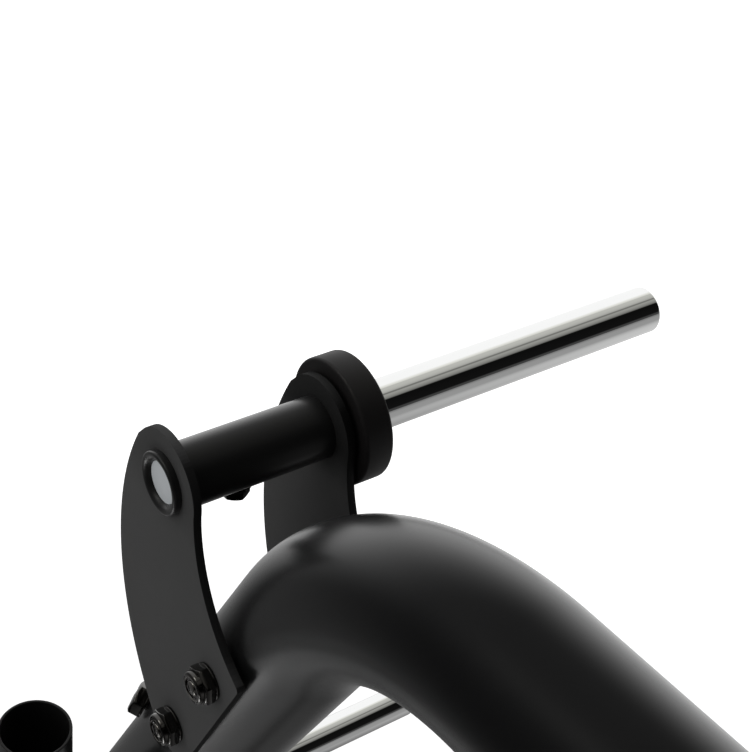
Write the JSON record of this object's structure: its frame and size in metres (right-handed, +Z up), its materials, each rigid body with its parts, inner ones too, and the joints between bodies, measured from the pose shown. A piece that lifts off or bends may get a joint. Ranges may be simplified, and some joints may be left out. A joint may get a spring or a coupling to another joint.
{
  "type": "squat rack",
  "caption": "Free-standing squat rack with bent round-tube side frames, uprights, bar hooks, safety arms, bar holders and plate storage horns.",
  "frame": {"origin": "middle of the footprint on the floor", "axes": "+X across the rack to the lifter's left when they face the uprights from the front, +Y from the open front to the rear legs, +Z up"},
  "size_m": [2.17, 1.905, 1.85],
  "materials": {
    "frame_black": "satin powder coat",
    "cheek_black": "matte textured powder coat",
    "chrome": "bright hard chrome",
    "plug_grey": "plain light grey",
    "stopper_black": "satin coat",
    "fastener_black": "black zinc, slightly glossy",
    "foot_rubber": "plain",
    "cap_plastic": "fine grain",
    "liner_plastic": "smooth wear plastic",
    "pin_black": "satin"
  },
  "bodies": {
    "frame": {"arch_tube_r": "frame_black", "leg_flange_r": "frame_black", "arch_flange_r": "frame_black", "base_beam_r": "frame_black", "base_cap_r": "cap_plastic", "foot_front_r": "foot_rubber", "foot_rear_r": "foot_rubber", "upright_r": "frame_black", "inner_cheek_r": "cheek_black", "outer_cheek_r": "cheek_black", "upper_sleeve_r": "frame_black", "upper_horn_r": "chrome", "upper_plug_r": "plug_grey", "upper_stopper_r": "stopper_black", "sleeve_screw_r": "fastener_black", "cheek_bolt_top_r": "fastener_black", "cheek_bolt_low_r": "fastener_black", "leg_bolt_r": "fastener_black", "lower_sleeve_r": "frame_black", "lower_horn_r": "chrome", "lower_plug_r": "plug_grey", "lower_stopper_r": "stopper_black", "bar_holder_r": "frame_black", "arch_tube_l": "frame_black", "leg_flange_l": "frame_black", "arch_flange_l": "frame_black", "base_beam_l": "frame_black", "base_cap_l": "cap_plastic", "foot_front_l": "foot_rubber", "foot_rear_l": "foot_rubber", "upright_l": "frame_black", "inner_cheek_l": "cheek_black", "outer_cheek_l": "cheek_black", "upper_sleeve_l": "frame_black", "upper_horn_l": "chrome", "upper_plug_l": "plug_grey", "upper_stopper_l": "stopper_black", "sleeve_screw_l": "fastener_black", "cheek_bolt_top_l": "fastener_black", "cheek_bolt_low_l": "fastener_black", "leg_bolt_l": "fastener_black", "lower_sleeve_l": "frame_black", "lower_horn_l": "chrome", "lower_plug_l": "plug_grey", "lower_stopper_l": "stopper_black", "bar_holder_l": "frame_black", "rear_cross": "frame_black", "top_cross": "frame_black"},
    "hook_right": {"hook_r": "frame_black", "hook_liner_r": "liner_plastic"},
    "hook_pin_right": {"hook_pin_r": "pin_black"},
    "safety_arm_right": {"safety_arm_r": "frame_black", "arm_pad_r": "liner_plastic"},
    "arm_pin_right": {"arm_pin_r": "pin_black"},
    "hook_left": {"hook_l": "frame_black", "hook_liner_l": "liner_plastic"},
    "hook_pin_left": {"hook_pin_l": "pin_black"},
    "safety_arm_left": {"safety_arm_l": "frame_black", "arm_pad_l": "liner_plastic"},
    "arm_pin_left": {"arm_pin_l": "pin_black"}
  },
  "joints": [
    {"name": "hook_height_right", "type": "slide", "parent": "frame", "child": "hook_right", "axis": [0, 0, 1], "range_m": [-0.225, 0.3]},
    {"name": "hook_pin_right", "type": "slide", "parent": "hook_right", "child": "hook_pin_right", "axis": [1, 0, 0], "range_m": [-0.014, 0]},
    {"name": "arm_height_right", "type": "slide", "parent": "frame", "child": "safety_arm_right", "axis": [0, 0, 1], "range_m": [-0.225, 0.075]},
    {"name": "arm_pin_right", "type": "slide", "parent": "safety_arm_right", "child": "arm_pin_right", "axis": [1, 0, 0], "range_m": [-0.014, 0]},
    {"name": "hook_height_left", "type": "slide", "parent": "frame", "child": "hook_left", "axis": [0, 0, 1], "range_m": [-0.225, 0.3]},
    {"name": "hook_pin_left", "type": "slide", "parent": "hook_left", "child": "hook_pin_left", "axis": [-1, 0, 0], "range_m": [-0.014, 0]},
    {"name": "arm_height_left", "type": "slide", "parent": "frame", "child": "safety_arm_left", "axis": [0, 0, 1], "range_m": [-0.225, 0.075]},
    {"name": "arm_pin_left", "type": "slide", "parent": "safety_arm_left", "child": "arm_pin_left", "axis": [-1, 0, 0], "range_m": [-0.014, 0]}
  ]
}
